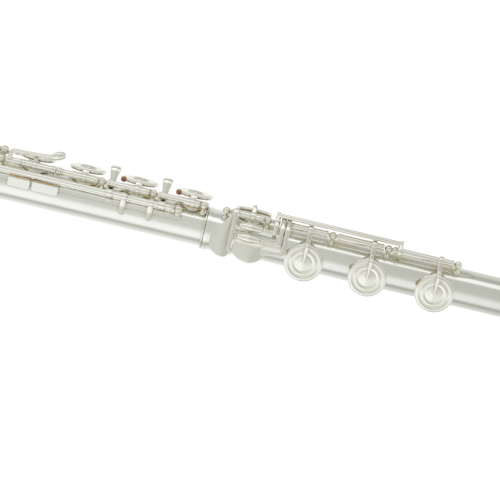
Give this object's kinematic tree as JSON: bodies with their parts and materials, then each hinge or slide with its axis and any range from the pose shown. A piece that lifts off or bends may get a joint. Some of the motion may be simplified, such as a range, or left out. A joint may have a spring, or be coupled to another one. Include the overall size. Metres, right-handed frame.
{
  "type": "concert flute",
  "caption": "Silver concert flute with a B foot: three-part tube with tone holes, padded keys on hinge rods, trill keys, rollers and a tuning head joint.",
  "frame": {"origin": "centre of the foot joint's open end, on the bore's axis", "axes": "+X along the bore from head to foot, +Z out of the line of finger keys, -Y towards the player, where the hinge rods run"},
  "size_m": [0.716, 0.0391, 0.0399],
  "materials": {
    "silver_tube": "polished silver plate",
    "silver_keys": "polished silver plate, cast and turned",
    "silver_posts": "polished silver plate, turned, toned in the corners",
    "hinge_steel": "ground steel rod",
    "gold_spring": "gold alloy needle spring",
    "pad_skin": "fish-skin over felt, tan",
    "cork": "natural cork"
  },
  "bodies": {
    "body": {"body_tube": "silver_tube", "barrel": "silver_tube", "body_end_ring": "silver_tube", "body_ribs": "silver_posts", "main_posts": "silver_posts", "trill_posts": "silver_posts", "offset_g_posts": "silver_posts", "g_sharp_posts": "silver_posts", "thumb_posts": "silver_posts", "body_steels": "hinge_steel", "body_springs": "gold_spring"},
    "foot": {"foot_tube": "silver_tube", "foot_socket": "silver_tube", "foot_end_ring": "silver_tube", "foot_rib": "silver_posts", "foot_posts": "silver_posts", "foot_steels": "hinge_steel", "foot_springs": "gold_spring"},
    "head": {"head_tube": "silver_tube", "lip_plate": "silver_tube"},
    "crown": {"crown": "silver_tube"},
    "stopper": {"stopper_screw": "hinge_steel", "stopper_cork": "cork"},
    "d": {"d_key": "silver_keys", "d_pad": "pad_skin"},
    "e": {"e_key": "silver_keys", "e_pad": "pad_skin"},
    "f": {"f_key": "silver_keys", "f_pad": "pad_skin"},
    "f_sharp": {"f_sharp_key": "silver_keys", "f_sharp_pad": "pad_skin"},
    "g": {"g_key": "silver_keys", "g_pads": "pad_skin"},
    "g_sharp": {"g_sharp_key": "silver_keys", "g_sharp_pad": "pad_skin"},
    "a": {"a_key": "silver_keys", "a_pad": "pad_skin"},
    "b_flat": {"b_flat_key": "silver_keys", "b_flat_pad": "pad_skin"},
    "b_flat_side": {"b_flat_side_lever": "silver_keys"},
    "thumb_b": {"thumb_b_key": "silver_keys", "thumb_b_pad": "pad_skin"},
    "thumb_b_flat": {"thumb_b_flat_key": "silver_keys"},
    "c": {"c_key": "silver_keys", "c_pad": "pad_skin"},
    "d_trill": {"d_trill_key": "silver_keys", "d_trill_pad": "pad_skin"},
    "d_sharp_trill": {"d_sharp_trill_key": "silver_keys", "d_sharp_trill_pad": "pad_skin"},
    "foot_d_sharp": {"foot_d_sharp_key": "silver_keys", "foot_d_sharp_pad": "pad_skin"},
    "foot_c_sharp": {"foot_c_sharp_key": "silver_keys", "foot_c_sharp_pad": "pad_skin"},
    "foot_c": {"foot_c_key": "silver_keys", "foot_c_pad": "pad_skin"},
    "foot_b": {"foot_b_key": "silver_keys", "foot_b_pad": "pad_skin"},
    "foot_b_roller": {"foot_b_roller": "silver_keys"},
    "foot_c_roller": {"foot_c_roller": "silver_keys"}
  },
  "joints": [
    {"name": "foot_turn", "type": "hinge", "parent": "body", "child": "foot", "pos_m": [-0.162, 0, 0], "axis": [1, 0, 0], "range_deg": [-20, 20]},
    {"name": "head_slide", "type": "slide", "parent": "body", "child": "head", "axis": [-1, 0, 0], "range_m": [0, 0.012]},
    {"name": "crown_turn", "type": "hinge", "parent": "head", "child": "crown", "pos_m": [-0.71, 0, 0], "axis": [1, 0, 0], "range_deg": [-180, 180]},
    {"name": "stopper_slide", "type": "slide", "parent": "head", "child": "stopper", "axis": [1, 0, 0], "range_m": [-0.0004, 0.0004]},
    {"name": "d_key_turn", "type": "hinge", "parent": "body", "child": "d", "pos_m": [-0.185, -0.01115, 0.01077], "axis": [1, 0, 0], "range_deg": [-9, 0], "stiffness_Nm_per_rad": 0.02, "springref_deg": 20.05},
    {"name": "e_key_turn", "type": "hinge", "parent": "body", "child": "e", "pos_m": [-0.211, -0.01115, 0.01077], "axis": [1, 0, 0], "range_deg": [-9, 0], "stiffness_Nm_per_rad": 0.02, "springref_deg": 20.05},
    {"name": "f_key_turn", "type": "hinge", "parent": "body", "child": "f", "pos_m": [-0.238, -0.01115, 0.01077], "axis": [1, 0, 0], "range_deg": [-9, 0], "stiffness_Nm_per_rad": 0.02, "springref_deg": 20.05},
    {"name": "f_sharp_key_turn", "type": "hinge", "parent": "body", "child": "f_sharp", "pos_m": [-0.259, -0.01115, 0.01077], "axis": [1, 0, 0], "range_deg": [-9, 0], "stiffness_Nm_per_rad": 0.02, "springref_deg": 20.05},
    {"name": "g_key_turn", "type": "hinge", "parent": "body", "child": "g", "pos_m": [-0.298, -0.00631, 0.01524], "axis": [1, 0, 0], "range_deg": [-9, 0], "stiffness_Nm_per_rad": 0.02, "springref_deg": 20.05},
    {"name": "g_sharp_key_turn", "type": "hinge", "parent": "body", "child": "g_sharp", "pos_m": [-0.279, 0.01416, 0.0063], "axis": [1, 0, 0], "range_deg": [0, 9], "stiffness_Nm_per_rad": 0.02, "springref_deg": -20.05},
    {"name": "a_key_turn", "type": "hinge", "parent": "body", "child": "a", "pos_m": [-0.311, -0.01115, 0.01077], "axis": [1, 0, 0], "range_deg": [-9, 0], "stiffness_Nm_per_rad": 0.02, "springref_deg": 20.05},
    {"name": "b_flat_key_turn", "type": "hinge", "parent": "body", "child": "b_flat", "pos_m": [-0.351, -0.01115, 0.01077], "axis": [1, 0, 0], "range_deg": [-9, 0], "stiffness_Nm_per_rad": 0.02, "springref_deg": 20.05},
    {"name": "b_flat_side_lever_turn", "type": "hinge", "parent": "body", "child": "b_flat_side", "pos_m": [-0.272, -0.01115, 0.01077], "axis": [1, 0, 0], "range_deg": [0, 6], "stiffness_Nm_per_rad": 0.02, "springref_deg": -20.05},
    {"name": "thumb_b_key_turn", "type": "hinge", "parent": "body", "child": "thumb_b", "pos_m": [-0.366, 0.00679, -0.01393], "axis": [1, 0, 0], "range_deg": [-9, 0], "stiffness_Nm_per_rad": 0.02, "springref_deg": 20.05},
    {"name": "thumb_b_flat_key_turn", "type": "hinge", "parent": "body", "child": "thumb_b_flat", "pos_m": [-0.347, 0.00679, -0.01393], "axis": [1, 0, 0], "range_deg": [-9, 0], "stiffness_Nm_per_rad": 0.02, "springref_deg": 20.05},
    {"name": "c_key_turn", "type": "hinge", "parent": "body", "child": "c", "pos_m": [-0.384, -0.01115, 0.01077], "axis": [1, 0, 0], "range_deg": [-9, 0], "stiffness_Nm_per_rad": 0.02, "springref_deg": 20.05},
    {"name": "d_trill_key_turn", "type": "hinge", "parent": "body", "child": "d_trill", "pos_m": [-0.315, -0.01437, 0.00581], "axis": [1, 0, 0], "range_deg": [-8, 0], "stiffness_Nm_per_rad": 0.02, "springref_deg": 20.05},
    {"name": "d_sharp_trill_key_turn", "type": "hinge", "parent": "body", "child": "d_sharp_trill", "pos_m": [-0.312, -0.01437, 0.00581], "axis": [1, 0, 0], "range_deg": [-8, 0], "stiffness_Nm_per_rad": 0.02, "springref_deg": 20.05},
    {"name": "foot_d_sharp_key_turn", "type": "hinge", "parent": "foot", "child": "foot_d_sharp", "pos_m": [-0.149, -0.01096, 0.01096], "axis": [1, 0, 0], "range_deg": [0, 9], "stiffness_Nm_per_rad": 0.02, "springref_deg": -20.05},
    {"name": "foot_c_sharp_key_turn", "type": "hinge", "parent": "foot", "child": "foot_c_sharp", "pos_m": [-0.117, -0.01096, 0.01096], "axis": [1, 0, 0], "range_deg": [0, 9], "stiffness_Nm_per_rad": 0.02, "springref_deg": -20.05},
    {"name": "foot_c_key_turn", "type": "hinge", "parent": "foot", "child": "foot_c", "pos_m": [-0.104, -0.01096, 0.01096], "axis": [1, 0, 0], "range_deg": [0, 9], "stiffness_Nm_per_rad": 0.02, "springref_deg": -20.05},
    {"name": "foot_b_key_turn", "type": "hinge", "parent": "foot", "child": "foot_b", "pos_m": [-0.087, -0.01096, 0.01096], "axis": [1, 0, 0], "range_deg": [0, 9], "stiffness_Nm_per_rad": 0.02, "springref_deg": -20.05},
    {"name": "foot_b_roller_spin", "type": "hinge", "parent": "foot_b", "child": "foot_b_roller", "pos_m": [-0.146, -0.0153, 0.0052], "axis": [1, 0, 0], "continuous": true},
    {"name": "foot_c_roller_spin", "type": "hinge", "parent": "foot_c", "child": "foot_c_roller", "pos_m": [-0.146, -0.017, -0.00035], "axis": [1, 0, 0], "continuous": true}
  ],
  "couplings": [
    {"joint": "f_sharp_key_turn", "follows": "f_key_turn", "ratio": 1},
    {"joint": "b_flat_key_turn", "follows": "a_key_turn", "ratio": 1},
    {"joint": "stopper_slide", "follows": "crown_turn", "m_per_rad": 0.00011937}
  ]
}
